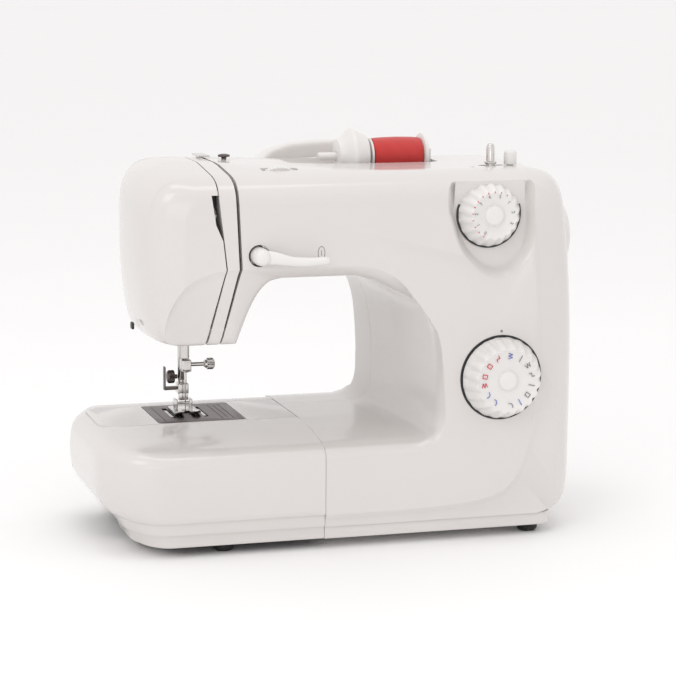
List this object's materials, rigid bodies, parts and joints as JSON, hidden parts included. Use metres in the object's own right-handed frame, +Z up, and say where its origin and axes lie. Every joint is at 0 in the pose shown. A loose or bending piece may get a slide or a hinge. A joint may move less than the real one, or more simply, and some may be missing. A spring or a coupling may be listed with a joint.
{
  "type": "sewing machine",
  "caption": "Compact domestic free-arm sewing machine with slide-off extension table, two front dials, reverse lever, spool and carrying handle.",
  "frame": {"origin": "on the floor, at the middle of the whole machine's length and depth", "axes": "+X to the user's right, along the arm towards the hand wheel, +Y to the back, +Z up"},
  "size_m": [0.372, 0.19, 0.2851],
  "materials": {
    "shell_white": "glossy warm white moulded shell",
    "part_white": "satin white moulded part",
    "black_rubber": "matte black rubber",
    "black_plastic": "satin black plastic",
    "steel": "bright turned steel",
    "chrome_steel": "polished plated steel",
    "dark_steel": "dark brushed steel plate",
    "cast_alloy": "rough cast alloy",
    "red_thread": "wound polyester sewing thread",
    "lamp_glass": "frosted lamp glass",
    "motor_grey": "dark painted motor body",
    "bobbin_clear": "translucent bobbin plastic"
  },
  "bodies": {
    "machine": {"face_cover": "shell_white", "thread_guide_rib": "shell_white", "front_cover": "shell_white", "rear_cover": "shell_white", "base_tray": "black_plastic", "foot_front_left": "black_rubber", "foot_front_right": "black_rubber", "foot_rear_left": "black_rubber", "foot_rear_right": "black_rubber", "free_arm_cover": "shell_white", "bobbin_door": "shell_white", "needle_plate": "dark_steel", "shuttle_race": "cast_alloy", "bobbin_case": "steel", "motor": "motor_grey", "drive_belt": "black_rubber", "timing_belt": "black_rubber", "main_frame": "cast_alloy", "presser_spring": "steel", "tension_disc_left": "chrome_steel", "tension_disc_right": "chrome_steel", "tension_post": "steel", "thread_guide_stud": "chrome_steel", "pretension_guide": "chrome_steel", "thread_cutter": "black_plastic", "spool_pin": "part_white", "winder_stop": "part_white", "power_inlet": "black_plastic", "lamp_bulb": "lamp_glass"},
    "table": {"extension_table": "shell_white"},
    "drive": {"handwheel": "part_white", "upper_shaft": "steel", "crank_disc": "cast_alloy"},
    "lower_drive": {"lower_shaft": "steel"},
    "motor_rotor": {"motor_pulley": "steel"},
    "hook": {"shuttle_hook": "steel"},
    "bobbin_body": {"bobbin": "bobbin_clear"},
    "needle_set": {"needle_bar": "chrome_steel", "needle_clamp": "chrome_steel", "needle": "chrome_steel"},
    "clamp_screw": {"needle_clamp_screw": "chrome_steel"},
    "take_up": {"take_up_lever": "chrome_steel"},
    "presser_set": {"presser_bar": "chrome_steel", "presser_shank": "chrome_steel", "shank_thread_guide": "dark_steel", "presser_foot": "chrome_steel"},
    "thumb_screw": {"presser_thumb_screw": "dark_steel"},
    "lifter": {"presser_lifter": "black_plastic"},
    "tension_knob": {"tension_wheel": "part_white"},
    "spool": {"thread_spool": "part_white", "spool_thread": "red_thread"},
    "cap": {"spool_cap": "part_white"},
    "winder": {"winder_arm": "black_plastic"},
    "winder_post": {"winder_spindle": "steel"},
    "length_knob": {"stitch_length_dial": "part_white"},
    "pattern_knob": {"pattern_dial": "part_white"},
    "reverse": {"reverse_lever": "part_white"},
    "feed": {"feed_dog": "steel"},
    "handle": {"carry_handle": "part_white"},
    "switch": {"power_switch": "black_plastic"}
  },
  "joints": [
    {"name": "table_slide", "type": "slide", "parent": "machine", "child": "table", "axis": [-1, 0, 0], "range_m": [0, 0.2]},
    {"name": "handwheel_spin", "type": "hinge", "parent": "machine", "child": "drive", "pos_m": [0.17, 0.03, 0.203], "axis": [1, 0, 0], "continuous": true},
    {"name": "lower_shaft_spin", "type": "hinge", "parent": "machine", "child": "lower_drive", "pos_m": [0, 0.04, 0.044], "axis": [1, 0, 0], "continuous": true},
    {"name": "motor_spin", "type": "hinge", "parent": "machine", "child": "motor_rotor", "pos_m": [0.13, 0, 0.048], "axis": [1, 0, 0], "continuous": true},
    {"name": "hook_swing", "type": "hinge", "parent": "machine", "child": "hook", "pos_m": [-0.1056, 0.016, 0.052], "axis": [0, 1, 0], "range_deg": [-100, 100]},
    {"name": "bobbin_spin", "type": "hinge", "parent": "machine", "child": "bobbin_body", "pos_m": [-0.1056, 0.012, 0.052], "axis": [0, 1, 0], "continuous": true},
    {"name": "needle_bar_slide", "type": "slide", "parent": "machine", "child": "needle_set", "axis": [0, 0, 1], "range_m": [-0.006, 0.022]},
    {"name": "clamp_screw_turn", "type": "hinge", "parent": "needle_set", "child": "clamp_screw", "pos_m": [-0.09, 0.0303, 0.116], "axis": [1, 0, 0], "range_deg": [0, 360]},
    {"name": "take_up_swing", "type": "hinge", "parent": "machine", "child": "take_up", "pos_m": [-0.1078, 0.012, 0.212], "axis": [-1, 0, 0], "range_deg": [-6, 14]},
    {"name": "presser_slide", "type": "slide", "parent": "machine", "child": "presser_set", "axis": [0, 0, 1], "range_m": [0, 0.006]},
    {"name": "thumb_screw_turn", "type": "hinge", "parent": "presser_set", "child": "thumb_screw", "pos_m": [-0.112, 0.0415, 0.1055], "axis": [1, 0, 0], "range_deg": [0, 360]},
    {"name": "lifter_turn", "type": "hinge", "parent": "machine", "child": "lifter", "pos_m": [-0.096, 0.075, 0.178], "axis": [0, -1, 0], "range_deg": [0, 80]},
    {"name": "tension_turn", "type": "hinge", "parent": "machine", "child": "tension_knob", "pos_m": [-0.055, -0.042, 0.2475], "axis": [0, 1, 0], "range_deg": [-150, 150]},
    {"name": "spool_spin", "type": "hinge", "parent": "machine", "child": "spool", "pos_m": [0.05, 0.022, 0.2653], "axis": [1, 0, 0], "continuous": true},
    {"name": "spool_cap_slide", "type": "slide", "parent": "machine", "child": "cap", "axis": [-1, 0, 0], "range_m": [0, 0.038]},
    {"name": "winder_slide", "type": "slide", "parent": "machine", "child": "winder", "axis": [1, 0, 0], "range_m": [0, 0.006]},
    {"name": "winder_spin", "type": "hinge", "parent": "winder", "child": "winder_post", "pos_m": [0.102, -0.036, 0.262], "axis": [0, 0, 1], "continuous": true},
    {"name": "length_dial_turn", "type": "hinge", "parent": "machine", "child": "length_knob", "pos_m": [0.089, -0.075, 0.23], "axis": [0, 1, 0], "range_deg": [0, 300]},
    {"name": "pattern_dial_turn", "type": "hinge", "parent": "machine", "child": "pattern_knob", "pos_m": [0.097, -0.085, 0.1165], "axis": [0, 1, 0], "continuous": true},
    {"name": "reverse_press", "type": "hinge", "parent": "machine", "child": "reverse", "pos_m": [-0.0784, -0.085, 0.2083], "axis": [0, 1, 0], "range_deg": [0, 16], "stiffness_Nm_per_rad": 0.4, "springref_deg": -5.73},
    {"name": "feed_slide", "type": "slide", "parent": "machine", "child": "feed", "axis": [0, 1, 0], "range_m": [-0.002, 0.002]},
    {"name": "handle_raise", "type": "hinge", "parent": "machine", "child": "handle", "pos_m": [0.014, 0.058, 0.253], "axis": [1, 0, 0], "range_deg": [0, 75]},
    {"name": "switch_rock", "type": "hinge", "parent": "machine", "child": "switch", "pos_m": [0.15, 0.06, 0.086], "axis": [0, 1, 0], "range_deg": [0, 12]}
  ],
  "couplings": [
    {"joint": "lower_shaft_spin", "follows": "handwheel_spin", "ratio": 1},
    {"joint": "motor_spin", "follows": "handwheel_spin", "ratio": 2.5}
  ]
}
